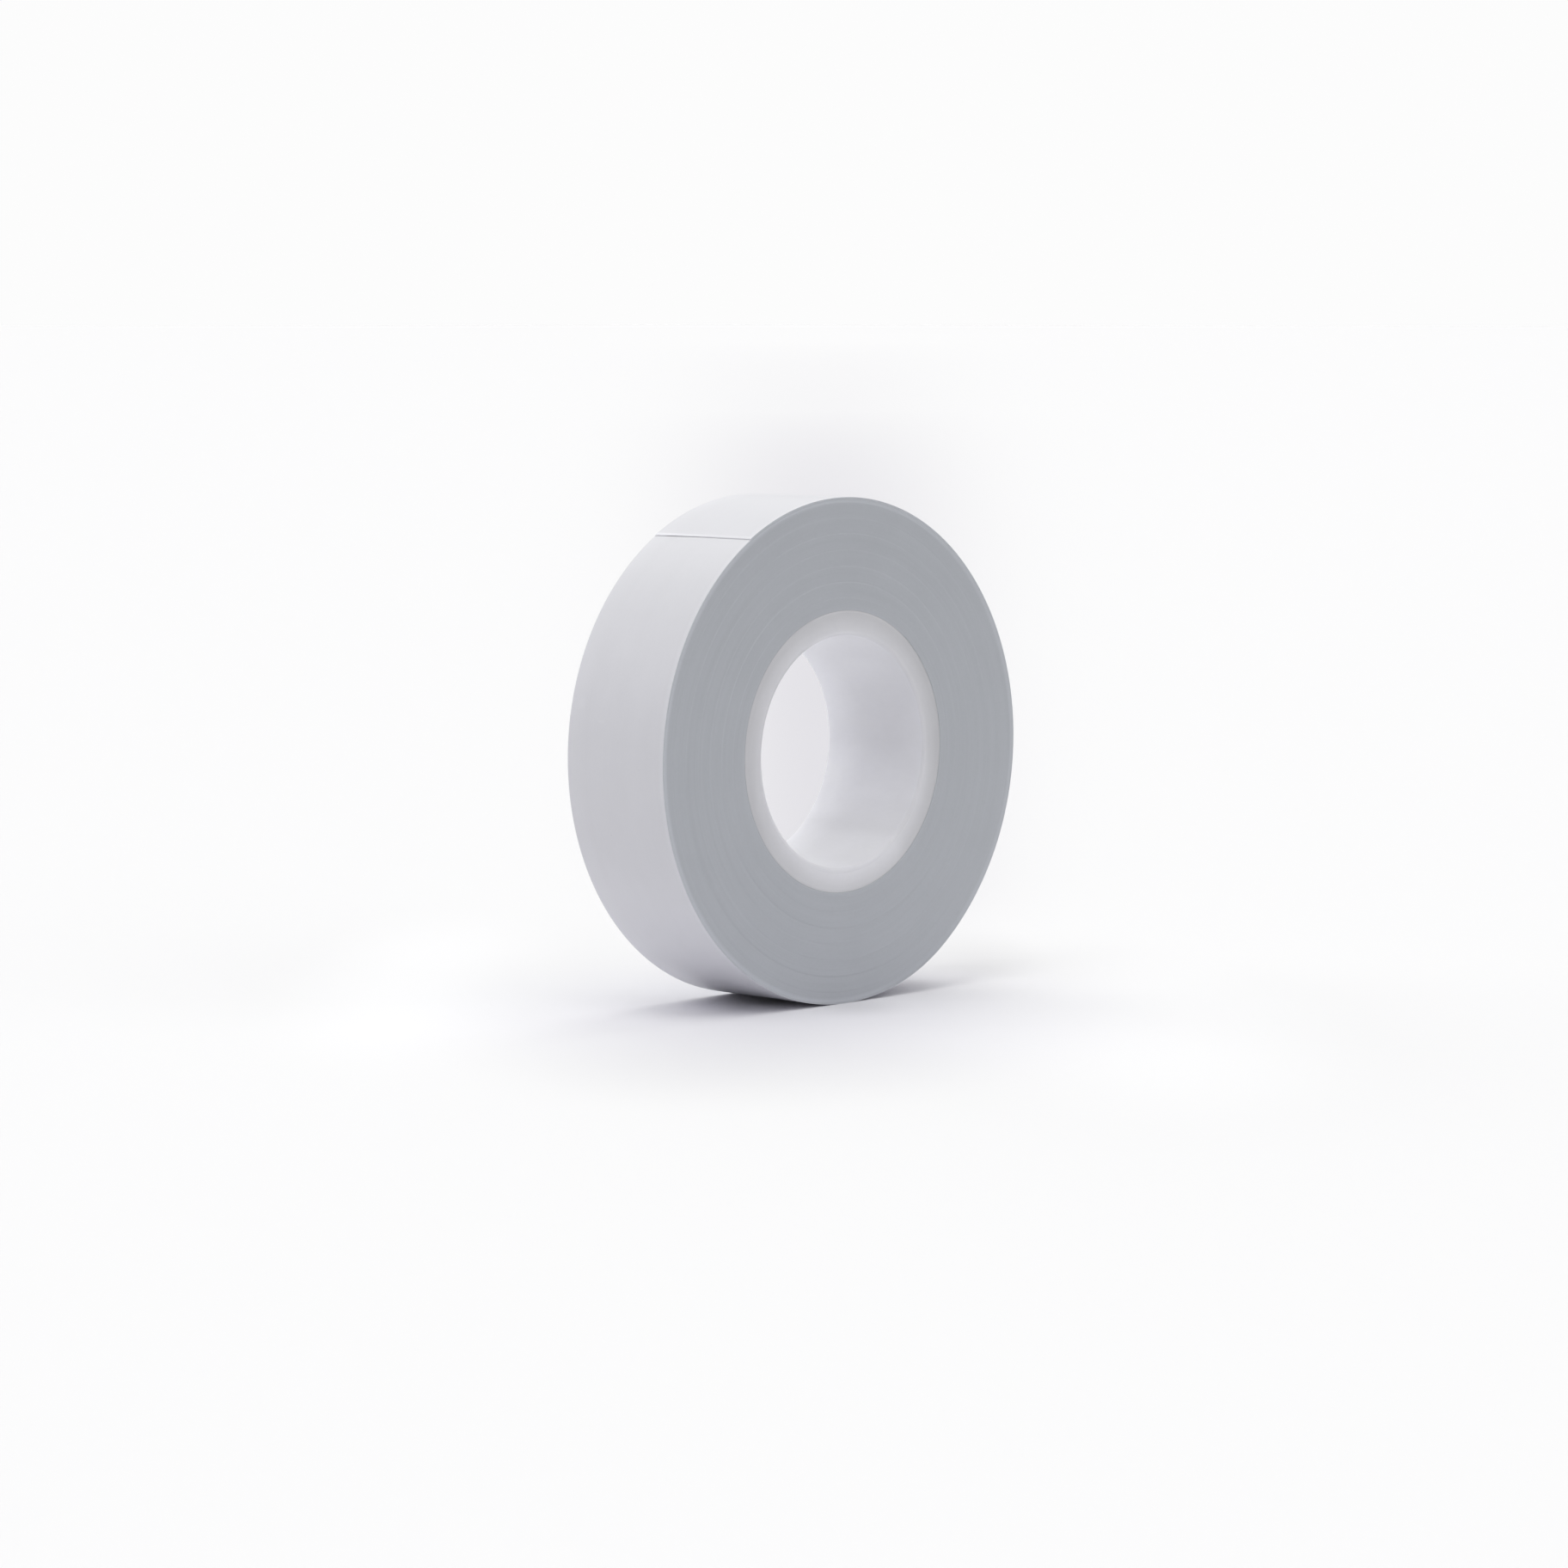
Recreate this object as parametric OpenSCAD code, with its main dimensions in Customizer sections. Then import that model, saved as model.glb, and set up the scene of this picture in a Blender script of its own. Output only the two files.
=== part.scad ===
// Roll of PVC tape, standing on its tread.
// Millimetres. The roll's axis lies along Y, +Z is up, the origin is the centre of the bore.
// Angles are counted in the XZ plane from +X towards +Z, as seen from the front (the -Y side).
// The strip is wound so that its outermost turn comes over the top and its cut
// edge lies on the tread, up on the left.

/* [Tape] */
// Width of the tape strip
tape_w = 19; // [12:0.5:50]
// Thickness of one turn, film and adhesive together
tape_t = 0.14; // [0.1:0.01:0.3]
// Thickness of the adhesive coat alone
adhesive_t = 0.03; // [0.015:0.005:0.06]
// Outer diameter of the wound roll at the cut edge
roll_d = 72; // [55:0.1:120]

/* [Core] */
// Outer diameter of the plastic core
core_od = 40; // [36:0.5:48]
// Bore of the plastic core
core_id = 33; // [25:0.5:36]
// How far each core face lies below the side of the tape
core_recess = 0.05; // [0:0.05:0.5]
// Radius of the rounded rim where the core's face turns into the bore
core_round = 0.5; // [0.3:0.1:1.4]
// Small bevel on the core's outer corners
core_bevel = 0.1; // [0.05:0.05:0.4]

/* [Free end] */
// Angle of the cut edge on the tread
end_angle = 121.2; // [95:0.1:170]
// Length of the free end that lifts, as an arc of the roll
tail_arc = 40; // [10:1:80]
// Air between the free end and the turn below it
tail_gap = 0.01; // [0.005:0.005:0.015]

/* [Tread] */
// Angle of one flat of the tread, with one flat centred at the bottom
flat_angle = 5; // [3, 4, 5]

/* [Hidden] */

film_t = tape_t - adhesive_t;
roll_r = roll_d / 2;
core_r = core_od / 2;
core_h = tape_w - 2 * core_recess;
rim_r = min(core_round, (core_od - core_id) / 2 - core_bevel - 0.2);
bore_r = min(core_id / 2, core_r - 1.5);
root_angle = end_angle - tail_arc;
rim_steps = 8;

film_colour = [0.77, 0.77, 0.80];
side_colour = [0.64, 0.66, 0.68];
glue_colour = [0.70, 0.70, 0.69];
core_colour = [0.82, 0.82, 0.84];

// The flats' corners sit at half a flat either side of straight down, and on from there
function corner_at(k) = -90 + flat_angle / 2 + k * flat_angle;
function first_k(a) = ceil((a + 90 - flat_angle / 2 + 0.3) / flat_angle);
function last_k(a) = floor((a + 90 - flat_angle / 2 - 0.3) / flat_angle);

// Angles along a strip from its high end to its low end: both ends and every corner between
function run(hi, lo) = concat([hi], [for (k = [last_k(hi) : -1 : first_k(lo)]) corner_at(k)], [lo]);

// Outer surface of the spiral, which loses one thickness for each turn away from the cut edge
function spiral_r(a) = roll_r - tape_t * (end_angle - a) / 360;
function at(r, a) = [r * cos(a), r * sin(a)];
function back(v) = [for (i = [len(v) - 1 : -1 : 0]) v[i]];

// Outline of a layer of the strip between two depths below the spiral's outer surface
function layer(angles, top, bottom) = concat(
    [for (a = angles) at(spiral_r(a) - top, a)],
    [for (a = back(angles)) at(spiral_r(a) - bottom, a)]
);

// Lays an outline drawn in the XZ plane across the width of the roll
module across(w) {
    rotate([90, 0, 0]) linear_extrude(height = w, center = true) children();
}

module strip(hi, lo, top, bottom) {
    across(tape_w) polygon(layer(run(hi, lo), top, bottom));
}

// Moulded plastic ring that the tape is wound on, with rounded rims at its bore
module core() {
    h = core_h / 2;
    color(core_colour) rotate([90, 0, 0]) rotate_extrude($fn = 180) polygon(concat(
        [for (i = [0 : rim_steps])
            let (a = 90 * i / rim_steps) [bore_r + rim_r * (1 - cos(a)), h - rim_r * (1 - sin(a))]],
        [[core_r - core_bevel, h], [core_r, h - core_bevel], [core_r, -h + core_bevel], [core_r - core_bevel, -h]],
        [for (i = [rim_steps : -1 : 0])
            let (a = 90 * i / rim_steps) [bore_r + rim_r * (1 - cos(a)), -h + rim_r * (1 - sin(a))]]
    ));
}

// All the turns under the outermost one, pressed together by the winding tension
module tape_winding() {
    color(side_colour) across(tape_w) difference() {
        polygon([for (a = run(root_angle, root_angle - 360)) at(spiral_r(a) - tape_t, a)]);
        circle(r = core_r, $fn = 180);
    }
}

// Film of the outermost turn, from the root of the free end once round to the same angle
module outer_turn_film() {
    color(film_colour) strip(root_angle, root_angle - 360, 0, film_t);
}

// Adhesive coat under that film
module outer_turn_adhesive() {
    color(glue_colour) strip(root_angle, root_angle - 360, film_t, tape_t);
}

// Film of the free end, which lifts off the turn below it
module tail_film() {
    color(film_colour) strip(end_angle, root_angle, 0, film_t);
}

// Adhesive coat under the free end
module tail_adhesive() {
    color(glue_colour) strip(end_angle, root_angle, film_t, tape_t - tail_gap);
}

core();
tape_winding();
outer_turn_film();
outer_turn_adhesive();
tail_film();
tail_adhesive();
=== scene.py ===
import math

import bmesh
import bpy
import numpy as np
from mathutils import Matrix, Vector


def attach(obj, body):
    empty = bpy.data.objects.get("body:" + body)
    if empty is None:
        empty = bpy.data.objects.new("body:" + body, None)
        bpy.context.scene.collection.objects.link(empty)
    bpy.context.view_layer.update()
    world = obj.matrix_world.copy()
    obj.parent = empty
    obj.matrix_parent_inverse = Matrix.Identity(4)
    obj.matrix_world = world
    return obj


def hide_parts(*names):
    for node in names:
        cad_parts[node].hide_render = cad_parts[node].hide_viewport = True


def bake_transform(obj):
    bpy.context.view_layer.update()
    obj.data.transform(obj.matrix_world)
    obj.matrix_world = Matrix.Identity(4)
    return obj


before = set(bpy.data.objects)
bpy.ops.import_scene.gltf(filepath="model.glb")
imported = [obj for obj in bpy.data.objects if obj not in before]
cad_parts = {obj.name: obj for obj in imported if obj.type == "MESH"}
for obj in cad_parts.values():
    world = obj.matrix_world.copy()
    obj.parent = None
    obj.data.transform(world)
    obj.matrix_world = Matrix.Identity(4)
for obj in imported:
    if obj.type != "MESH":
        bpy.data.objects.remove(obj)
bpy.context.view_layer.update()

# Roll of PVC tape on its tread. Lengths below are millimetres until a mesh is made, angles are degrees
# counted in the XZ plane from +X towards +Z, and the strip's own coordinate is its unwrapped angle.
MM = 0.001
R = 36.0            # outer radius at the cut edge
T = 0.14            # one turn: film and adhesive
FILM = 0.11
GLUE = T - FILM
WIDTH = 18.92       # the strip itself; its sideways weave fills the 19 mm between the two sides
END = 121.2         # cut edge
SEAM = 51.2         # where the free end's meshes join the outermost turn's, on the rigid roll
CORE_R = 20.0
BORE_R = 16.5
CORE_HALF = 9.45


# ---------------------------------------------------------------- the strip's path

def spiral_r(a):
    """Outer surface of the strip at its unwrapped angle, highest at the cut edge."""
    return R - T * (END - np.asarray(a, float)) / 360.0


def smooth(x, lo, hi):
    u = np.clip((np.asarray(x, float) - lo) / (hi - lo), 0, 1)
    return u * u * (3 - 2 * u)


RNG = np.random.default_rng(7)
_JIT = RNG.normal(0, 1, 4096)


def value_noise(x, seed=0):
    """Smooth one-dimensional noise, about -1 to 1, a new value at each whole number."""
    x = np.asarray(x, float) + 1000.37 * (seed + 1)
    k = np.floor(x).astype(int)
    f = x - k
    f = f * f * (3 - 2 * f)
    a = _JIT[k % 4096]
    b = _JIT[(k + 1) % 4096]
    return np.clip(a * (1 - f) + b * f, -2.2, 2.2) / 2.2


WEAVE = 0.055       # how far the strip wanders sideways while it is wound
PITCH = 2.27        # radial distance between two arms of the faint spiral that the wander leaves on the sides


STEP = 0.12         # share of an arm that its step takes


def phase(r, a):
    """Place between one arm of that spiral and the next, 0 to 1."""
    t = np.radians(np.asarray(a, float))
    psi = (r - 23.3) / PITCH - np.asarray(a, float) / 360.0
    psi = psi + 0.035 * value_noise(r * 0.9, 3) + 0.010 * np.sin(2 * t + 0.6) + 0.008 * np.sin(3 * t + 2.0)
    return psi - np.floor(psi)


def weave(r, a):
    """Sideways place of the strip, 0 at the front limit: a sharp step and a slow way back, once for each arm."""
    f = phase(r, a)
    saw = np.where(f < STEP, smooth(f, 0, STEP), 1 - (f - STEP) / (1 - STEP))
    size = 0.56 + 0.44 * np.exp(-((r - 24.6) / 1.0) ** 2) + 0.30 * np.exp(-((r - 31.6) / 0.8) ** 2) \
        + 0.12 * value_noise(r * 0.75, 11) + 0.06 * np.sin(np.radians(np.asarray(a, float)) + 1.1)
    return WEAVE * saw * size


def grain(r, a):
    """Small sideways scatter of the turns, in millimetres."""
    turn = (r - CORE_R) / T
    return 0.0030 * value_noise(turn * 0.5, 21) + 0.0022 * value_noise(turn * 1.0, 22) \
        + 0.0014 * np.sin(3 * np.radians(np.asarray(a, float)) + 2.4 * turn)


def rim(r):
    """The outermost turns stand back a little, which softens the roll's corner."""
    d = np.clip(0.55 - (R - np.asarray(r, float)), 0, 0.55) / 0.55
    return 0.045 * d ** 2


def swell(r, a):
    """How far the outer turns, which lie less tightly, stand out on the right, most of all low down."""
    d = (np.asarray(a, float) + 63.0 + 180.0) % 360.0 - 180.0
    e = (np.asarray(a, float) - 5.0 + 180.0) % 360.0 - 180.0
    return (0.25 * np.exp(-(d / 15.0) ** 2) + 0.08 * np.exp(-(e / 38.0) ** 2)) * smooth(r, 24.0, 35.4)


# ---------------------------------------------------------------- meshes

def make_mesh(name, verts, quads, flat=None, second=None, attrs=None):
    """A mesh from millimetre points. flat marks faces without smooth shading, second those of the second material,
    attrs are vectors kept at each point for the material to read."""
    me = bpy.data.meshes.new(name)
    verts = np.asarray(verts, np.float64).reshape(-1, 3) * MM
    quads = np.asarray(quads, np.int64).reshape(-1, 4)
    me.from_pydata(verts.tolist(), [], quads.tolist())
    me.update()
    ob = bpy.data.objects.new(name, me)
    bpy.context.scene.collection.objects.link(ob)
    shade = np.ones(len(me.polygons), bool)
    if flat is not None:
        shade[flat] = False
    me.polygons.foreach_set("use_smooth", shade)
    if second is not None:
        index = np.zeros(len(me.polygons), np.int32)
        index[second] = 1
        me.polygons.foreach_set("material_index", index)
    for key, value in (attrs or {}).items():
        layer = me.attributes.new(key, "FLOAT_VECTOR", "POINT")
        layer.data.foreach_set("vector", np.asarray(value, np.float32).reshape(-1, 3).ravel())
    bm = bmesh.new()
    bm.from_mesh(me)
    bmesh.ops.recalc_face_normals(bm, faces=bm.faces)
    for edge in bm.edges:
        if any(face.smooth for face in edge.link_faces) != all(face.smooth for face in edge.link_faces):
            edge.smooth = False
    bm.to_mesh(me)
    bm.free()
    me.update()
    return ob


def polar(r, a, y):
    c, s = np.cos(np.radians(a)), np.sin(np.radians(a))
    r, c, s, y = np.broadcast_arrays(r, c, s, y)
    return np.stack([r * c, y, r * s], -1)


def winding():
    """Every turn below the outermost one as one closed body: both sides carry the edge of each turn."""
    N, TURNS, SUB = 144, 112, 3
    M = TURNS * SUB
    r0 = float(spiral_r(SEAM - 360.0)) - T - TURNS * T
    j = np.arange(N)
    ang = SEAM - 360.0 + 360.0 * j / N
    depth = np.array([0.0, 0.0065, 0.0])          # adhesive line a little below the film's edge
    groove = np.array([0.0, 1.0, 0.0])
    at = np.array([0.0, 0.016, 0.032])
    extra = SUB
    m = np.arange(M + extra + 1)
    base = r0 + T * (m // SUB) + at[m % SUB]
    rows_of = [M + extra if k == 0 else M for k in range(N)]
    num_f = -np.ones((N, M + extra + 1), np.int64)
    num_b = num_f.copy()
    verts, marks, count = [], [], 0
    for k in range(N):
        r = base + T * j[k] / N
        rc = np.maximum(r, CORE_R + 0.0004 * np.minimum(m, 4))
        rc[0] = CORE_R + 0.0004
        side = weave(r, ang[k]) + grain(r, ang[k])
        back = rim(r) + depth[m % SUB]
        turns = (m // SUB) + j[k] / N
        tone = value_noise(turns * 0.83, 31) * 0.6 + value_noise(turns * 5.3, 33) * 0.4
        # step marks where the faint spiral steps; the side material paints a highlight there high up and shade low
        # down.
        step = smooth(1 - np.abs(phase(r, ang[k]) - STEP / 2) / (STEP / 2), 0, 1)
        mark = np.stack([groove[m % SUB], tone, step], -1)
        top = rows_of[k] + 1
        # rows past M exist only at the first column, where the last column wraps on to them
        for num, y in ((num_f, -9.5 + side + back), (num_b, -9.5 + side + WIDTH - back)):
            num[k, :top] = count + np.arange(top)
            verts.append(polar(rc + swell(rc, ang[k]), ang[k], y)[:top])
            marks.append(mark[:top])
            count += top
    verts, marks = np.concatenate(verts), np.concatenate(marks)

    def col(num, k, rows):
        return num[k, rows] if k < N else num[0, rows + extra]

    quads = []
    rows = np.arange(M)
    for k in range(N):
        for num in (num_f, num_b):
            quads.append(np.stack([col(num, k, rows), col(num, k, rows + 1), col(num, k + 1, rows + 1), col(num, k + 1, rows)], -1))
        for row in (0, M):
            one = np.array([row])
            quads.append(np.array([[col(num_f, k, one)[0], col(num_f, k + 1, one)[0], col(num_b, k + 1, one)[0], col(num_b, k, one)[0]]]))
    for lo in (0, M):
        for row in range(lo, lo + extra):
            quads.append(np.array([[num_f[0, row], num_f[0, row + 1], num_b[0, row + 1], num_b[0, row]]]))
    return make_mesh("wound_turns", verts, np.concatenate(quads), attrs={"edges": marks})


def strip_section(half, thick, round_r):
    """Cross-section of the strip across its width: a ring of (depth, y) pairs, outer face first, and which of its
    spans lie on the two slit edges."""
    near = np.array([0.9, 0.55, 0.3, 0.15])
    ys = np.sort(np.concatenate([-(half - near), np.linspace(-(half - 1.6), half - 1.6, 13), half - near]))
    arc = np.radians([0, 30, 60, 90])
    out = [(0.0, y) for y in ys]
    e0 = len(out)
    out += [(-round_r * (1 - math.cos(b)), half - round_r + round_r * math.sin(b)) for b in arc]
    out += [(-thick + round_r * (1 - math.cos(b)), half - round_r + round_r * math.sin(b)) for b in arc[::-1]]
    e1 = len(out) - 1
    out += [(-thick, y) for y in ys[::-1]]
    e2 = len(out)
    out += [(-thick + round_r * (1 - math.cos(b)), -(half - round_r) - round_r * math.sin(b)) for b in arc]
    out += [(-round_r * (1 - math.cos(b)), -(half - round_r) - round_r * math.sin(b)) for b in arc[::-1]]
    e3 = len(out) - 1
    k = np.arange(len(out))
    return np.array(out), ((k >= e0) & (k < e1)) | ((k >= e2) & (k < e3))


def build_strip(name, a0, a1, steps, top, thick, half, round_r, lift=None, cut=None, tip=None):
    """A closed strip of the winding between two unwrapped angles, with its section swept along the spiral.
    tip is the length and drop of the softened edge where the strip was cut."""
    sec, edge = strip_section(half, thick, round_r)
    K = len(sec)
    ang = np.linspace(a0, a1, steps + 1)
    if tip is not None:
        last = np.degrees(tip[0] / R) * np.array([1.0, 0.72, 0.47, 0.26, 0.10, 0.0])
        ang = np.concatenate([np.linspace(a0, a1 - last[0] - 0.07, steps - 5), a1 - last])
    verts = np.zeros((steps + 1, K, 3))
    marks = np.zeros((steps + 1, K, 3))
    for i, a in enumerate(ang):
        dr, y = sec[:, 0], sec[:, 1]
        aa = np.full(K, a)
        if cut is not None:
            aa = aa + cut(y) * smooth(a, a1 - 1.5, a1)
        side = weave(spiral_r(a) - T / 2, a) + grain(spiral_r(a) - T / 2, a)
        # the winding tension pulls the strip's edges down a little
        droop = 0.014 * (np.clip(np.abs(y) - (WIDTH / 2 - 0.4), 0, 0.4) / 0.4) ** 2
        rr = spiral_r(aa) - top + dr - droop
        if tip is not None:
            near = np.clip(1 - np.radians(a1 - a) * R / tip[0], 0, 1)
            rr = rr - tip[1] * (1 - np.sqrt(1 - near ** 2)) * (thick + dr) / thick
        if lift is not None:
            rr = rr + lift(aa, y)
        verts[i] = polar(rr + swell(rr, aa), aa, -9.5 + side + WIDTH / 2 + y)
        marks[i] = np.stack([np.radians(aa) * R, y, top - dr], -1)
    idx = np.arange((steps + 1) * K).reshape(steps + 1, K)
    nxt = np.roll(idx, -1, axis=1)
    quads = np.stack([idx[:-1], nxt[:-1], nxt[1:], idx[1:]], -1).reshape(-1, 4)
    second = np.tile(edge, steps)
    caps = []
    for row in (0, steps):
        for k in range(K // 2 - 1):
            caps.append([idx[row, k], idx[row, k + 1], idx[row, K - 2 - k], idx[row, K - 1 - k]])
    flat = np.concatenate([np.zeros(len(quads), bool), np.ones(len(caps), bool)])
    second = np.concatenate([second, np.zeros(len(caps), bool)])
    return make_mesh(name, verts, np.concatenate([quads, np.array(caps)]), flat=flat, second=second, attrs={"strip": marks})


def lathe(name, prof, n, wobble):
    """Closed ring turned from a closed profile of (radius, y) pairs, with the small waviness of a moulded part."""
    prof = np.asarray(prof, float)
    K = len(prof)
    ang = 360.0 * np.arange(n) / n
    verts = np.zeros((n, K, 3))
    for i, a in enumerate(ang):
        r, y = prof[:, 0], prof[:, 1]
        near_bore = smooth(r, 18.5, BORE_R)
        verts[i] = polar(r + near_bore * wobble(a, y), a, y)
    idx = np.arange(n * K).reshape(n, K)
    nxt = np.roll(idx, -1, axis=1)
    quads = np.stack([idx, nxt, np.roll(nxt, -1, axis=0), np.roll(idx, -1, axis=0)], -1).reshape(-1, 4)
    return make_mesh(name, verts, quads)


def core_profile():
    """Front face at -y: a half-millimetre rounding at the bore, on a band that the mould's insert left a hair
    proud of the face. The back edge of the bore is sharper, and the back face lies a hair deeper."""
    h, hf, rf, rb, c, proud = CORE_HALF, CORE_HALF + 0.025, 0.5, 0.3, 0.012, 0.010
    p = [(BORE_R, y) for y in np.linspace(-(hf - rf), h - rb, 15)]
    p += [(BORE_R + rb * (1 - math.cos(b)), h - rb + rb * math.sin(b)) for b in np.radians(np.arange(15, 91, 15))]
    p += [(r, h) for r in (17.1, 17.6, 18.2, 18.8, 19.4)]
    p += [(CORE_R - c + c * math.sin(b), h - c + c * math.cos(b)) for b in np.radians([0, 30, 60, 90])]
    p += [(CORE_R, y) for y in (h - 0.6, 5.0, 0.0, -5.0, -(hf - 0.6))]
    p += [(CORE_R - c + c * math.cos(b), -(hf - c) - c * math.sin(b)) for b in np.radians([0, 30, 60, 90])]
    p += [(r, -hf) for r in (19.4, 18.8, 18.2, 17.7, 17.40, 17.22)]
    p += [(17.175, -hf - proud), (17.10, -hf - proud)]
    p += [(BORE_R + rf * (1 - math.cos(b)), -(hf + proud - rf) - rf * math.sin(b)) for b in np.radians(np.arange(90, 8, -9))]
    return p


def core_wobble(a, y):
    turn = math.radians(a)
    return 0.012 * np.sin(2 * turn + 0.7) + 0.006 * np.sin(5 * turn + 2.1 + y * 0.05) + 0.003 * np.sin(11 * turn + y * 0.4)


def tail_lift(a, y):
    """The last millimetres stand off the turn below: hardly at the front edge, more towards the back edge."""
    w = smooth(a, END - 3.4, END) ** 1.5
    return w * (0.0015 + 0.003 * smooth(y, 0.0, 8.5))


def tail_cut(y):
    return 0.08 + 0.26 * (y / 9.5) ** 2 + 0.030 * np.sin(y * 0.9 + 0.4) + 0.018 * np.sin(y * 2.7)


winding_ob = winding()
film_turn = build_strip("outermost_turn_film", SEAM - 360.0, SEAM, 720, 0.0, FILM, WIDTH / 2, 0.03)
glue_turn = build_strip("outermost_turn_adhesive", SEAM - 360.0, SEAM, 720, FILM, GLUE, WIDTH / 2 - 0.03, 0.008)
tail_film = build_strip("free_end_film", SEAM, END, 280, 0.0, FILM, WIDTH / 2, 0.03, lift=tail_lift, cut=tail_cut, tip=(0.42, 0.100))
tail_glue = build_strip("free_end_adhesive", SEAM, END - 0.03, 280, FILM, GLUE - 0.005, WIDTH / 2 - 0.03, 0.008, lift=tail_lift)
core_ob = lathe("core_ring", core_profile(), 288, core_wobble)


# ---------------------------------------------------------------- materials

class Graph:
    """Short names for the nodes that the materials below are made of."""

    def __init__(self, name):
        self.mat = bpy.data.materials.new(name)
        self.mat.use_nodes = True
        self.nt = self.mat.node_tree
        self.nt.nodes.clear()
        out = self.nt.nodes.new("ShaderNodeOutputMaterial")
        self.bsdf = self.nt.nodes.new("ShaderNodeBsdfPrincipled")
        self.nt.links.new(self.bsdf.outputs["BSDF"], out.inputs["Surface"])

    def put(self, socket, value):
        if isinstance(value, bpy.types.NodeSocket):
            self.nt.links.new(value, socket)
        else:
            socket.default_value = value

    def set(self, **values):
        for key, value in values.items():
            self.put(self.bsdf.inputs[key.replace("_", " ")], value)

    def math(self, op, a, b=0.0, c=0.0, clamp=False):
        n = self.nt.nodes.new("ShaderNodeMath")
        n.operation, n.use_clamp = op, clamp
        for socket, value in zip(n.inputs, (a, b, c)):
            self.put(socket, value)
        return n.outputs[0]

    def vec(self, op, a, b=(0, 0, 0), scale=1.0):
        n = self.nt.nodes.new("ShaderNodeVectorMath")
        n.operation = op
        self.put(n.inputs[0], a)
        if op == "SCALE":
            self.put(n.inputs["Scale"], scale)
        else:
            self.put(n.inputs[1], b)
        return n.outputs["Value"] if op in ("LENGTH", "DISTANCE", "DOT_PRODUCT") else n.outputs["Vector"]

    def split(self, v):
        n = self.nt.nodes.new("ShaderNodeSeparateXYZ")
        self.put(n.inputs[0], v)
        return n.outputs[0], n.outputs[1], n.outputs[2]

    def join(self, x, y, z):
        n = self.nt.nodes.new("ShaderNodeCombineXYZ")
        for socket, value in zip(n.inputs, (x, y, z)):
            self.put(socket, value)
        return n.outputs[0]

    def attribute(self, name):
        n = self.nt.nodes.new("ShaderNodeAttribute")
        n.attribute_type, n.attribute_name = "GEOMETRY", name
        return n.outputs["Vector"]

    def place(self):
        """Point on the object in millimetres."""
        n = self.nt.nodes.new("ShaderNodeTexCoord")
        return self.vec("SCALE", n.outputs["Object"], scale=1000.0)

    def noise(self, v, detail=2.0, rough=0.5, offset=(0.0, 0.0, 0.0), scale=(1.0, 1.0, 1.0)):
        n = self.nt.nodes.new("ShaderNodeTexNoise")
        n.noise_dimensions = "3D"
        self.put(n.inputs["Vector"], self.shift(v, scale, offset))
        n.inputs["Scale"].default_value = 1.0
        n.inputs["Detail"].default_value = detail
        n.inputs["Roughness"].default_value = rough
        return n.outputs[0]

    def shift(self, v, scale, offset):
        return self.vec("ADD", self.vec("MULTIPLY", v, scale), offset)

    def remap(self, x, a, b, c, d, kind="LINEAR"):
        n = self.nt.nodes.new("ShaderNodeMapRange")
        n.interpolation_type = kind
        n.clamp = True
        for key, value in (("Value", x), ("From Min", a), ("From Max", b), ("To Min", c), ("To Max", d)):
            self.put(n.inputs[key], value)
        return n.outputs["Result"]

    def around(self, fac, amount):
        """1 with a swing of the given amount either way over noise's usual 0.3 to 0.7."""
        return self.math("MULTIPLY_ADD", fac, 5.0 * amount, 1.0 - 2.5 * amount)

    def product(self, *factors):
        out = factors[0]
        for f in factors[1:]:
            out = self.math("MULTIPLY", out, f)
        return out

    def tint(self, colour, factor):
        return self.vec("SCALE", colour, scale=factor)

    def mix(self, fac, a, b):
        n = self.nt.nodes.new("ShaderNodeMix")
        n.data_type, n.clamp_factor = "RGBA", True
        self.put(n.inputs[0], fac)
        self.put(n.inputs[6], a)
        self.put(n.inputs[7], b)
        return n.outputs[2]

    def bump(self, height, distance, normal=None, strength=1.0):
        """Relief whose height, 0 to 1, stands for the given number of millimetres."""
        n = self.nt.nodes.new("ShaderNodeBump")
        self.put(n.inputs["Height"], height)
        n.inputs["Distance"].default_value = distance * MM
        n.inputs["Strength"].default_value = strength
        if normal is not None:
            self.put(n.inputs["Normal"], normal)
        return n.outputs[0]

    def specks(self, v, cell, size, share):
        """1 on small round specks, one in each cell of the given millimetres in the given share of the cells."""
        n = self.nt.nodes.new("ShaderNodeTexVoronoi")
        n.feature, n.voronoi_dimensions = "F1", "3D"
        self.put(n.inputs["Vector"], self.vec("SCALE", v, scale=1.0 / cell))
        n.inputs["Scale"].default_value = 1.0
        pick, far, _ = self.split(n.outputs["Color"])
        near = self.remap(n.outputs["Distance"], size / cell * 0.45, size / cell, 1.0, 0.0, "SMOOTHSTEP")
        return self.math("MULTIPLY", near, self.math("GREATER_THAN", share, pick))

    def spot(self, v, centre, inner, outer):
        """1 at the centre, 0 beyond the outer radius."""
        return self.remap(self.vec("DISTANCE", v, centre), inner, outer, 1.0, 0.0, "SMOOTHSTEP")

    def less(self, mask, amount):
        """1 where the mask is 0, lower (or higher for a negative amount) where it is 1."""
        return self.math("MULTIPLY_ADD", mask, -amount, 1.0)

    def rings(self, p, turn=1.5):
        """Coordinates that run round the roll: two that change slowly along each ring, and the radius in
        millimetres, so that a pattern has no seam."""
        x, y, z = self.split(p)
        flat = self.join(x, 0.0, z)
        r = self.vec("LENGTH", flat)
        way = self.vec("SCALE", self.vec("NORMALIZE", flat), scale=turn)
        return way, r, y


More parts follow.
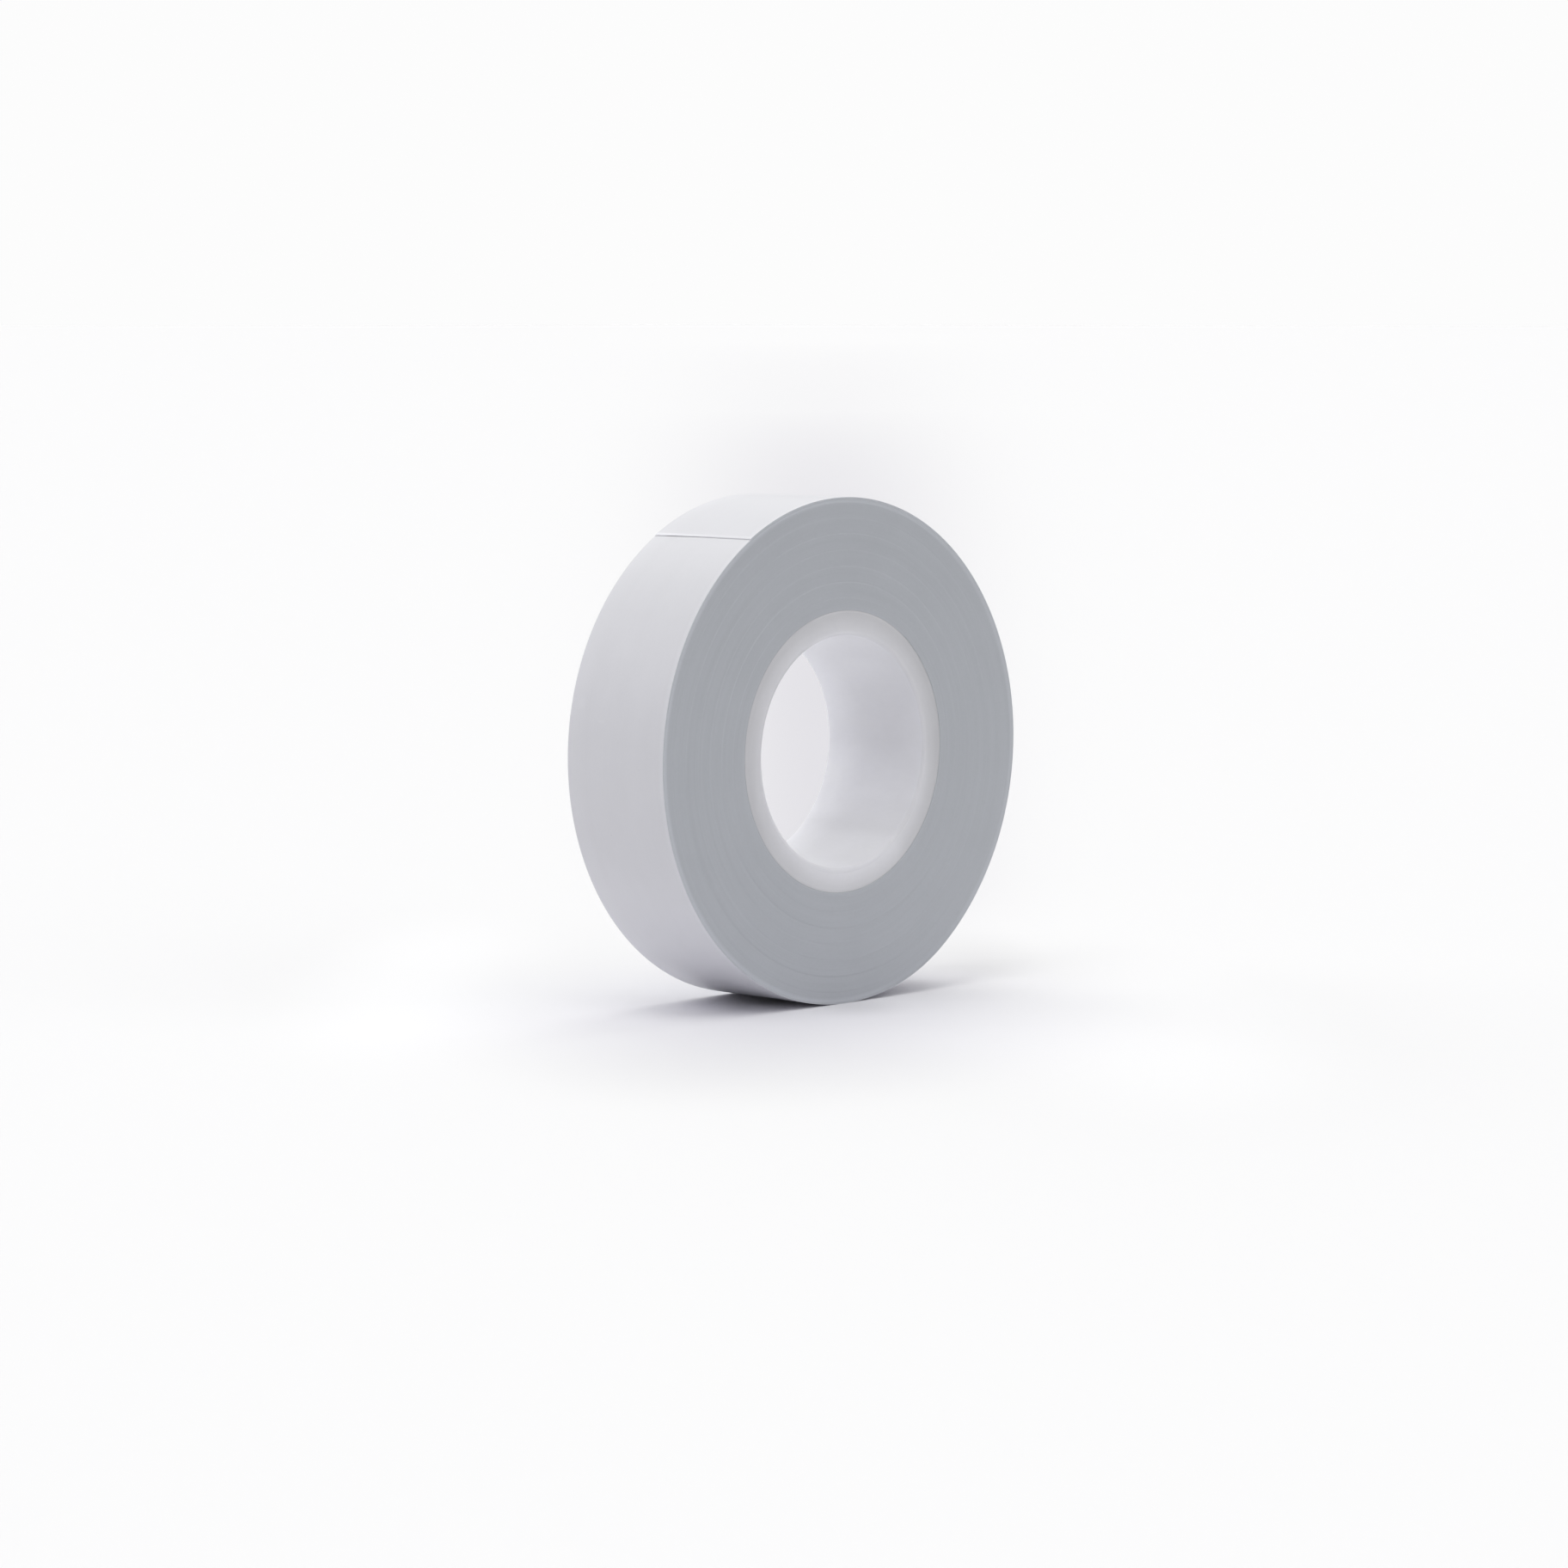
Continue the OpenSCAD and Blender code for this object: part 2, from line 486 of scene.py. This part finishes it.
def film_material():
    """Calendered soft PVC: satin, with faint bands and hair lines that run along the strip, a few scuffs and dust.
    Its colour also holds painted light: lighter along its edges, in two bands and a patch on the left of the tread,
    and just before the cut edge.
    """
    g = Graph("pvc_film")
    p = g.attribute("strip")
    s, y, depth = g.split(p)
    bands = g.noise(p, detail=2.0, scale=(1 / 70.0, 0.55, 0.0), offset=(3.1, 1.7, 0.0))
    lines = g.noise(p, detail=3.0, rough=0.6, scale=(1 / 16.0, 4.2, 0.0), offset=(7.7, 5.2, 4.0))
    cloud = g.noise(p, detail=3.0, rough=0.55, scale=(0.12, 0.17, 0.0), offset=(1.3, 8.8, 9.0))
    peel = g.noise(p, detail=2.0, scale=(2.6, 3.4, 0.0), offset=(0.4, 2.2, 6.0))
    # Painted highlight: the tread lighter along its back edge and its front edge.
    edge = g.product(g.remap(y, 5.5, 9.2, 1.0, 1.035, "SMOOTHSTEP"), g.remap(y, -9.2, -8.4, 1.035, 1.0, "SMOOTHSTEP"))
    dark = g.specks(p, 5.2, 0.13, 0.30)
    light = g.specks(g.vec("ADD", p, (31.0, 17.0, 3.0)), 7.0, 0.16, 0.35)
    scuff = g.spot(p, (-121.1, 7.3, 0.0), 0.2, 1.1)
    scratch = g.spot(g.vec("MULTIPLY", p, (3.6, 1.0, 1.0)), (-118.8 * 3.6, 3.0, 0.0), 0.3, 1.0)
    # Painted light: the last half-millimetre of film before the cut edge is made lighter, more so towards the back, to
    # offset the shade of the step there.
    cut = g.math("ADD", g.remap(y, -9.2, -5.0, 0.06, 0.12), g.remap(y, -4.0, 1.5, 0.0, 0.075))
    cut = g.less(g.math("MULTIPLY", g.remap(s, math.radians(END) * R - 0.55, math.radians(END) * R - 0.18, 0.0, 1.0, "SMOOTHSTEP"), cut), -1.0)
    # Painted light: two lighter bands across the tread on its left side and a lighter patch low on it towards the back
    # edge.
    painted_light_bands = g.product(g.less(g.remap(g.math("ABSOLUTE", g.math("ADD", s, 127.5)), 2.0, 14.0, 1.0, 0.0, "SMOOTHSTEP"), -0.055),
                     g.less(g.remap(g.math("ABSOLUTE", g.math("ADD", s, 86.5)), 3.0, 17.0, 1.0, 0.0, "SMOOTHSTEP"), -0.050),
                     g.less(g.spot(g.vec("MULTIPLY", p, (0.125, 0.19, 0.0)), (-72.5 * 0.125, 6.3 * 0.19, 0.0), 0.0, 1.0), -0.10))
    tone = g.product(g.around(bands, 0.004), g.around(lines, 0.004), g.around(cloud, 0.012), g.around(peel, 0.006), edge, cut, painted_light_bands,
                     g.less(dark, 0.10), g.less(light, -0.06), g.less(scuff, -0.025), g.less(scratch, -0.03))
    gloss = g.math("MULTIPLY_ADD", cloud, 0.14, g.math("MULTIPLY_ADD", lines, 0.10, 0.29))
    gloss = g.math("MULTIPLY_ADD", g.math("MAXIMUM", scuff, scratch), 0.15, gloss)
    height = g.math("MULTIPLY_ADD", lines, 0.35, g.math("MULTIPLY", peel, 0.55))
    g.set(Base_Color=g.tint((0.610, 0.610, 0.646), tone), Roughness=gloss, IOR=1.5, Normal=g.bump(height, 0.008))
    return g.mat


def side_material():
    """Slit edges of the turns: matt film with a darker hair line of adhesive under each, more visible in some
    turns than in others, and faint rings where a few turns sit differently. Painted into the colour: a highlight on
    those rings high up and shade on them low down, shade towards the top of each side, light towards its bottom and
    next to the core, and a lighter band along the rim."""
    g = Graph("slit_edges")
    mark = g.attribute("edges")
    groove, tone, step = g.split(mark)
    p = g.place()
    way, r, y = g.rings(p)
    ringed = g.vec("ADD", way, g.join(0.0, 0.0, g.math("MULTIPLY", r, 0.9)))
    fine = g.vec("ADD", way, g.join(0.0, 0.0, g.math("MULTIPLY", r, 3.4)))
    broad = g.noise(ringed, detail=2.0)
    close = g.noise(fine, detail=3.0, rough=0.6)
    dust = g.noise(p, detail=3.0, rough=0.6, scale=(1.9, 1.9, 1.9))
    cloud = g.noise(p, detail=2.0, scale=(0.10, 0.10, 0.10), offset=(4.0, 4.0, 4.0))
    line = g.math("MULTIPLY_ADD", groove, -0.10, 1.0)
    unit = g.vec("NORMALIZE", g.vec("MULTIPLY", p, (1.0, 0.0, 1.0)))
    # Painted highlight on the ring steps in the upper half of each side and painted shade on them in the lower half,
    # strongest on two rings; the sign flips between the front and back sides.
    facing = g.math("MULTIPLY", g.vec("DOT_PRODUCT", unit, (-0.15, 0.0, 0.99)), g.remap(y, -1.0, 1.0, 1.0, -1.0))
    near, far = (g.remap(g.math("ABSOLUTE", g.math("SUBTRACT", r, c)), 0.0, w, 1.0, 0.0, "SMOOTHSTEP") for c, w in ((24.5, 1.9), (31.8, 1.3)))
    lit = g.math("MULTIPLY", g.math("MAXIMUM", facing, 0.0), g.math("MULTIPLY_ADD", near, 0.048, 0.036))
    shaded = g.math("MULTIPLY", g.math("MINIMUM", facing, 0.0), g.math("MULTIPLY_ADD", g.math("MAXIMUM", near, far), 0.045, -0.010))
    turn = g.math("ADD", g.math("ADD", lit, shaded), 0.006)
    turn = g.math("MULTIPLY_ADD", tone, 0.014, g.math("MULTIPLY_ADD", step, turn, 1.0))
    # Painted shade and light: each side darker towards the top and lighter towards the bottom, and lighter on the turns
    # next to the core.
    painted_falloff = g.product(g.remap(g.split(p)[2], -30.0, 32.0, 1.035, 0.955), g.remap(r, 20.0, 20.8, 1.03, 1.0))
    # Painted light: a lighter band on the last half-millimetre of each side, for light that comes through the film at
    # the rim, weaker on the right and mostly left out low on the right.
    rim_light_gap = g.remap(g.vec("DOT_PRODUCT", unit, (0.454, 0.0, -0.891)), 0.93, 0.995, 1.0, 0.25, "SMOOTHSTEP")
    painted_rim_light = g.math("MULTIPLY", g.remap(r, 34.9, 35.5, 0.0, 1.0, "SMOOTHSTEP"), rim_light_gap)
    painted_rim_light = g.math("MULTIPLY_ADD", painted_rim_light, g.math("MULTIPLY_ADD", g.split(unit)[0], -0.03, 0.14), 1.0)
    dark = g.specks(p, 6.0, 0.15, 0.30)
    light = g.specks(g.vec("ADD", p, (31.0, 17.0, 3.0)), 9.0, 0.20, 0.20)
    total = g.product(g.around(broad, 0.013), g.around(close, 0.018), g.around(dust, 0.012), g.around(cloud, 0.012), line, turn,
                      painted_falloff, painted_rim_light, g.less(dark, 0.14), g.less(light, -0.16))
    gloss = g.math("MULTIPLY_ADD", close, 0.20, 0.50)
    height = g.math("MULTIPLY_ADD", dust, 0.5, g.math("MULTIPLY", close, 0.5))
    g.set(Base_Color=g.tint((0.4025, 0.4186, 0.4497), total), Roughness=gloss, IOR=1.48, Normal=g.bump(height, 0.012))
    return g.mat


def edge_material():
    """The same slit film where it ends the outermost turns, its colour painted lighter for light that comes through the
    film at the rim.
    """
    g = Graph("slit_film_edge")
    p = g.place()
    dust = g.noise(p, detail=3.0, rough=0.6, scale=(2.3, 2.3, 2.3))
    cloud = g.noise(p, detail=2.0, scale=(0.13, 0.13, 0.13), offset=(2.0, 5.0, 1.0))
    g.set(Base_Color=g.tint((0.4975, 0.5165, 0.552), g.product(g.around(dust, 0.02), g.around(cloud, 0.012))),
          Roughness=g.math("MULTIPLY_ADD", dust, 0.15, 0.48), IOR=1.48, Normal=g.bump(dust, 0.006))
    return g.mat


def glue_material():
    """Clear rubber adhesive: glossy, with the faint legs and dull patches that unwinding leaves in it."""
    g = Graph("adhesive")
    p = g.attribute("strip")
    legs = g.noise(p, detail=3.0, rough=0.6, scale=(1.5, 0.35, 0.0), offset=(2.0, 9.0, 1.0))
    pull = g.noise(p, detail=4.0, rough=0.65, scale=(0.30, 0.22, 0.0), offset=(6.0, 3.0, 7.0))
    dull = g.remap(pull, 0.40, 0.64, 0.0, 1.0, "SMOOTHSTEP")
    colour = g.mix(dull, (0.515, 0.517, 0.525, 1), (0.545, 0.545, 0.555, 1))
    gloss = g.math("MULTIPLY_ADD", dull, 0.22, g.math("MULTIPLY_ADD", legs, 0.12, 0.16))
    height = g.math("MULTIPLY_ADD", legs, 0.6, g.math("MULTIPLY", pull, 0.4))
    g.set(Base_Color=g.tint(colour, g.around(legs, 0.02)), Roughness=gloss, IOR=1.47, Normal=g.bump(height, 0.02))
    return g.mat


def core_material():
    """Whitish moulded plastic that lets some light through, with faint flow marks round the ring, uneven cloudy tone
    and small scuffs. Much light and shade is painted into its colour: the face darker towards the tape and lighter low
    down, on the left and at the top, the rounding and the bore wall lighter towards the back, lighter and darker
    patches round the bore, and a narrow highlight and a narrow line of shade on the face."""
    g = Graph("core_plastic")
    p = g.place()
    way, r, y = g.rings(p, 2.2)
    unit = g.vec("NORMALIZE", g.vec("MULTIPLY", p, (1.0, 0.0, 1.0)))
    ux, _, uz = g.split(unit)
    # Painted light on the face and rounding: lighter low down, on the left and at the top, for light that comes through
    # the plastic.
    top = g.math("MAXIMUM", uz, 0.0)
    low = g.math("MAXIMUM", g.vec("DOT_PRODUCT", unit, (0.139, 0.0, -0.990)), 0.0)
    more = g.math("MULTIPLY_ADD", ux, -0.0275, 0.0275)
    more = g.math("ADD", more, g.math("MULTIPLY", g.math("MULTIPLY", top, top), 0.0575))
    more = g.math("ADD", more, g.math("MULTIPLY", g.math("MULTIPLY", low, low), 0.245))
    # Painted shade and light on the face: darker towards the tape, lighter on its outer half-millimetre and at the
    # lower right.
    face = g.product(g.remap(r, 16.9, 19.9, 0.575, 0.459), g.math("ADD", more, 1.0), g.remap(r, 19.3, 19.8, 1.0, 1.055),
                     g.remap(g.vec("DOT_PRODUCT", unit, (0.707, 0.0, -0.707)), 0.93, 0.995, 1.0, 1.03, "SMOOTHSTEP"))
    # Painted light and shade on the front rounding of the bore: lighter with the face's painted light, darker at the
    # upper left, lighter at the lower left and at the top.
    rim_tone = g.math("MULTIPLY", g.math("MULTIPLY_ADD", more, 0.62, 1.0), 0.580)
    rim_tone = g.math("MULTIPLY", rim_tone, g.remap(g.vec("DOT_PRODUCT", unit, (-0.848, 0.0, 0.530)), 0.80, 0.99, 1.0, 0.93, "SMOOTHSTEP"))
    rim_tone = g.math("MULTIPLY", rim_tone, g.remap(g.vec("DOT_PRODUCT", unit, (-0.707, 0.0, -0.707)), 0.90, 0.99, 1.0, 1.07, "SMOOTHSTEP"))
    rim_tone = g.math("MULTIPLY", rim_tone, g.remap(g.vec("DOT_PRODUCT", unit, (-0.122, 0.0, 0.993)), 0.92, 0.985, 1.0, 1.045, "SMOOTHSTEP"))
    # Painted highlight: the front rounding of the bore lighter at the upper right.
    bend = g.product(g.remap(g.math("ABSOLUTE", g.math("SUBTRACT", r, 16.60)), 0.05, 0.20, 1.0, 0.0, "SMOOTHSTEP"),
                     g.remap(y, -9.2, -9.02, 1.0, 0.0), g.remap(g.vec("DOT_PRODUCT", unit, (0.87, 0.0, 0.50)), 0.45, 0.90, 0.0, 1.0))
    # Painted light and shade on the bore wall: lighter towards the back and at the top, darker low on the right.
    wall = g.math("MULTIPLY", g.remap(y, -9.0, 3.0, 0.688, 0.762), g.remap(y, 3.0, 9.0, 1.0, 1.11))
    wall = g.math("MULTIPLY", wall, g.remap(uz, 0.75, 1.0, 1.0, 1.085, "SMOOTHSTEP"))
    wall = g.math("MULTIPLY", wall, g.remap(g.vec("DOT_PRODUCT", unit, (0.469, 0.0, -0.883)), 0.90, 0.985, 1.0, 0.965, "SMOOTHSTEP"))
    # Painted light: a lighter patch on the bore wall on the right, a little below the middle, mostly in the middle of
    # its length.
    painted_light_patch = g.product(g.remap(g.vec("DOT_PRODUCT", unit, (0.920, 0.0, -0.391)), 0.91, 0.998, 0.0, 1.0, "SMOOTHSTEP"),
                     g.remap(y, -8.0, 3.0, 0.25, 1.0), g.remap(y, 6.5, 9.0, 1.0, 0.3))
    rounded = g.math("MAXIMUM", g.remap(r, 16.53, 16.66, 0.0, 1.0, "SMOOTHSTEP"), g.remap(y, -9.30, -9.0, 1.0, 0.0, "SMOOTHSTEP"))
    out = g.remap(r, 16.95, 17.15, 0.0, 1.0, "SMOOTHSTEP")

    def between(k, a, b):
        return g.math("ADD", g.math("MULTIPLY", b, k), g.math("MULTIPLY", a, g.math("SUBTRACT", 1.0, k)))

    value = g.math("MULTIPLY", between(out, between(rounded, wall, rim_tone), face), g.less(bend, -0.045))
    # Painted shade: a narrow dark line where the face meets the bore's rounding, low down.
    value = g.math("MULTIPLY", value, g.less(g.product(
        g.remap(g.math("ABSOLUTE", g.math("SUBTRACT", r, 17.19)), 0.04, 0.14, 1.0, 0.0, "SMOOTHSTEP"),
        g.remap(low, 0.80, 0.99, 0.0, 1.0, "SMOOTHSTEP")), 0.05))
    # Painted highlight: a narrow light line on the face's outer edge near the top.
    value = g.math("MULTIPLY", value, g.less(g.product(
        g.remap(g.math("ABSOLUTE", g.math("SUBTRACT", r, 19.84)), 0.05, 0.17, 1.0, 0.0, "SMOOTHSTEP"),
        g.remap(g.vec("DOT_PRODUCT", unit, (0.174, 0.0, 0.985)), 0.84, 0.95, 0.0, 1.0, "SMOOTHSTEP")), -0.085))
    # Painted shade: a darker patch on the bore wall on the right, a little above the middle.
    patch = g.product(g.remap(g.vec("DOT_PRODUCT", unit, (0.978, 0.0, 0.208)), 0.84, 0.99, 0.0, 1.0, "SMOOTHSTEP"),
                      g.remap(g.math("ABSOLUTE", g.math("ADD", y, 1.0)), 1.0, 8.0, 1.0, 0.0, "SMOOTHSTEP"))
    # Painted shade: a darker stripe on the bore wall low on the right, in its front half.
    stripe = g.product(g.remap(g.vec("DOT_PRODUCT", unit, (0.766, 0.0, -0.643)), 0.970, 0.998, 0.0, 1.0, "SMOOTHSTEP"),
                       g.remap(y, 0.0, 7.0, 1.0, 0.0, "SMOOTHSTEP"))
    flow = g.noise(g.vec("ADD", way, g.join(0.0, g.math("MULTIPLY", y, 0.12), g.math("MULTIPLY", r, 1.1))), detail=2.0)
    cloud = g.noise(p, detail=3.0, rough=0.55, scale=(0.16, 0.10, 0.16), offset=(9.0, 2.0, 5.0))
    fine = g.noise(p, detail=2.0, rough=0.6, scale=(1.3, 0.7, 1.3), offset=(3.0, 3.0, 3.0))
    tone = g.product(value, g.around(flow, 0.010), g.around(cloud, 0.018), g.around(fine, 0.006), g.less(patch, 0.045),
                     g.less(stripe, 0.05), g.less(painted_light_patch, -0.105))
    gloss = g.math("MULTIPLY_ADD", cloud, 0.18, g.math("MULTIPLY_ADD", flow, 0.10, 0.34))
    height = g.math("MULTIPLY_ADD", fine, 0.5, g.math("MULTIPLY", cloud, 0.5))
    g.set(Base_Color=g.tint((1.0, 1.0, 1.045), tone), Roughness=gloss, IOR=1.49, Normal=g.bump(height, 0.02),
          Subsurface_Weight=0.35, Subsurface_Radius=(1.0, 1.0, 1.05), Subsurface_Scale=0.0015)
    return g.mat


FILM_M, SIDE_M, EDGE_M, GLUE_M, CORE_M = film_material(), side_material(), edge_material(), glue_material(), core_material()
for ob, mats in ((winding_ob, (SIDE_M,)), (film_turn, (FILM_M, EDGE_M)), (tail_film, (FILM_M, EDGE_M)),
                 (glue_turn, (GLUE_M, GLUE_M)), (tail_glue, (GLUE_M, GLUE_M)), (core_ob, (CORE_M,))):
    for mat in mats:
        ob.data.materials.append(mat)

# ---------------------------------------------------------------- what rides on what

for ob in (winding_ob, film_turn, glue_turn, core_ob):
    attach(ob, "roll")
for ob in (tail_film, tail_glue):
    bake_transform(ob)

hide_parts("core")
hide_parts("tape_winding")
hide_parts("outer_turn_film")
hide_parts("outer_turn_adhesive")
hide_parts("tail_film")
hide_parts("tail_adhesive")

# ---------------------------------------------------------------- floor, light and camera

FLOOR_Z = -(R - T * (END + 90.0) / 360.0)
floor_me = bpy.data.meshes.new("floor")
s = 30.0
floor_me.from_pydata([(-s, -s, FLOOR_Z * MM), (s, -s, FLOOR_Z * MM), (s, s, FLOOR_Z * MM), (-s, s, FLOOR_Z * MM)], [], [(0, 1, 2, 3)])
floor = bpy.data.objects.new("floor", floor_me)
bpy.context.scene.collection.objects.link(floor)
# The sweep is plain white but for a broad soft painted shade behind the roll, which narrows towards it.
fg = Graph("floor_white")
at = fg.place()
run = fg.vec("DOT_PRODUCT", at, (0.716, 0.698, 0.0))
across = fg.vec("DOT_PRODUCT", at, (0.698, -0.716, 0.0))
spread = fg.math("MULTIPLY_ADD", run, 0.0276, 19.2)
middle = fg.math("MULTIPLY_ADD", run, 0.0068, 4.7)
bell = fg.math("DIVIDE", fg.math("SUBTRACT", across, middle), fg.math("MAXIMUM", spread, 18.0))
bell = fg.math("EXPONENT", fg.math("MULTIPLY", fg.math("MULTIPLY", bell, bell), -1.0))
fade = fg.math("ADD", fg.remap(run, 580.0, 4210.0, 0.65, 0.0), fg.remap(run, 2500.0, 16000.0, 0.235, 0.0))
shade = fg.product(bell, fg.remap(run, 20.0, 160.0, 0.0, 1.0, "SMOOTHSTEP"), fade)
place = fg.join(across, run, 0.0)


def pool(u, v, ru, rv, amount):
    """Painted shade on the sweep round a point, given across and along the view; a negative amount paints light
    instead.
    """
    d = fg.vec("LENGTH", fg.vec("MULTIPLY", fg.vec("ADD", place, (-u, -v, 0.0)), (1.0 / ru, 1.0 / rv, 0.0)))
    change = amount if isinstance(amount, tuple) else (amount, amount, amount)
    return fg.vec("ADD", (1.0, 1.0, 1.0), fg.vec("SCALE", tuple(-c for c in change), scale=fg.remap(d, 0.0, 1.0, 1.0, 0.0, "SMOOTHSTEP")))


sweep = fg.mix(shade, (0.80, 0.7975, 0.810, 1), (0.612, 0.602, 0.642, 1))
# Painted shade and light round the roll: a darker pool in front, darker shade under the roll and on its right, lighter
# pools to its left and right, and a bluish tint round it where the shadows fall.
for pooled in (pool(-8.0, -64.0, 38.0, 44.0, 0.085), pool(-2.0, -20.0, 62.0, 85.0, (0.0, 0.005, -0.035)),
               pool(-54.0, 15.0, 26.0, 100.0, -0.07), pool(46.0, -35.0, 36.0, 90.0, -0.085),
               pool(8.0, -10.0, 9.5, 13.0, 0.12), pool(-3.5, -4.5, 7.5, 6.5, 0.35), pool(-14.0, -9.5, 6.5, 8.5, -0.17),
               pool(17.0, 12.0, 6.0, 9.0, 0.10), pool(28.0, 48.0, 12.0, 40.0, 0.05)):
    sweep = fg.vec("MULTIPLY", sweep, pooled)
fg.set(Base_Color=sweep, Roughness=0.9, Specular_IOR_Level=0.0)
floor.data.materials.append(fg.mat)

# The sky is dark overhead and bright along the horizon; what the camera itself sees behind the floor is plain white.
world = bpy.data.worlds.new("studio")
bpy.context.scene.world = world
world.use_nodes = True
wt = world.node_tree
wt.nodes.clear()
w_out = wt.nodes.new("ShaderNodeOutputWorld")
w_mix = wt.nodes.new("ShaderNodeMixShader")
w_path = wt.nodes.new("ShaderNodeLightPath")
w_seen = wt.nodes.new("ShaderNodeBackground")
w_lit = wt.nodes.new("ShaderNodeBackground")
w_seen.inputs["Color"].default_value = (1, 1, 1, 1)
w_seen.inputs["Strength"].default_value = 0.975
w_lit.inputs["Color"].default_value = (0.992, 0.986, 1.03, 1)
w_dir = wt.nodes.new("ShaderNodeTexCoord")
w_xyz = wt.nodes.new("ShaderNodeSeparateXYZ")
wt.links.new(w_dir.outputs["Generated"], w_xyz.inputs[0])
w_low = wt.nodes.new("ShaderNodeMath")
w_low.operation, w_low.use_clamp = "SUBTRACT", True
w_low.inputs[0].default_value = 1.0
wt.links.new(w_xyz.outputs["Z"], w_low.inputs[1])
w_sq = wt.nodes.new("ShaderNodeMath")
w_sq.operation = "MULTIPLY"
wt.links.new(w_low.outputs[0], w_sq.inputs[0])
wt.links.new(w_low.outputs[0], w_sq.inputs[1])
w_amt = wt.nodes.new("ShaderNodeMath")
w_amt.operation = "MULTIPLY_ADD"
wt.links.new(w_sq.outputs[0], w_amt.inputs[0])
w_amt.inputs[1].default_value = 0.703
w_amt.inputs[2].default_value = 0.083
wt.links.new(w_amt.outputs[0], w_lit.inputs["Strength"])
wt.links.new(w_path.outputs["Is Camera Ray"], w_mix.inputs[0])
wt.links.new(w_lit.outputs[0], w_mix.inputs[1])
wt.links.new(w_seen.outputs[0], w_mix.inputs[2])
wt.links.new(w_mix.outputs[0], w_out.inputs["Surface"])


def sun(name, az, el, strength, size, colour=(1.004, 1.007, 0.985)):
    """Soft light from far off: azimuth as the camera's, elevation above the floor, apparent size in degrees."""
    d = bpy.data.lights.new(name, "SUN")
    d.energy = strength
    d.angle = math.radians(size)
    d.color = colour
    o = bpy.data.objects.new(name, d)
    bpy.context.scene.collection.objects.link(o)
    a, e = math.radians(az), math.radians(el)
    back = Vector((math.sin(a) * math.cos(e), -math.cos(a) * math.cos(e), math.sin(e)))
    o.rotation_mode = "QUATERNION"
    o.rotation_quaternion = (-back).to_track_quat("-Z", "Y")
    o.location = back
    return o


sun("overhead", 0, 90, 0.714, 110)
sun("high_left", -75, 65, 0.879, 40)
sun("high_right", 105, 65, 0.571, 40)
sun("behind_left", -165, 40, 0.547, 60)
sun("front_right", 15, 40, 0.608, 60)
sun("behind_right", 150, 40, 0.666, 60)

CAM_AZ, CAM_EL = -45.7196, 5.49884
CAM_DIST, CAM_TX, CAM_TZ = 698.16, -1.7403, -5.1989
a, e = math.radians(CAM_AZ), math.radians(CAM_EL)
back = Vector((math.sin(a) * math.cos(e), -math.cos(a) * math.cos(e), math.sin(e)))
right = (-back).cross(Vector((0, 0, 1))).normalized()
up = right.cross(-back)
cam_data = bpy.data.cameras.new("camera")
cam_data.sensor_width = 36.0
cam_data.lens = 5687.425 / 1824.0 * 36.0
cam_data.clip_start, cam_data.clip_end = 0.01, 100.0
cam = bpy.data.objects.new("camera", cam_data)
bpy.context.scene.collection.objects.link(cam)
rot = Matrix((right, up, back)).transposed()
cam.rotation_mode = "QUATERNION"
cam.rotation_quaternion = rot.to_quaternion()
cam.location = (back * CAM_DIST + right * CAM_TX + up * CAM_TZ) * MM
bpy.context.scene.camera = cam

scene = bpy.context.scene
scene.view_settings.view_transform = "Standard"
scene.view_settings.look = "None"
scene.view_settings.exposure = 0.0
scene.view_settings.gamma = 1.0
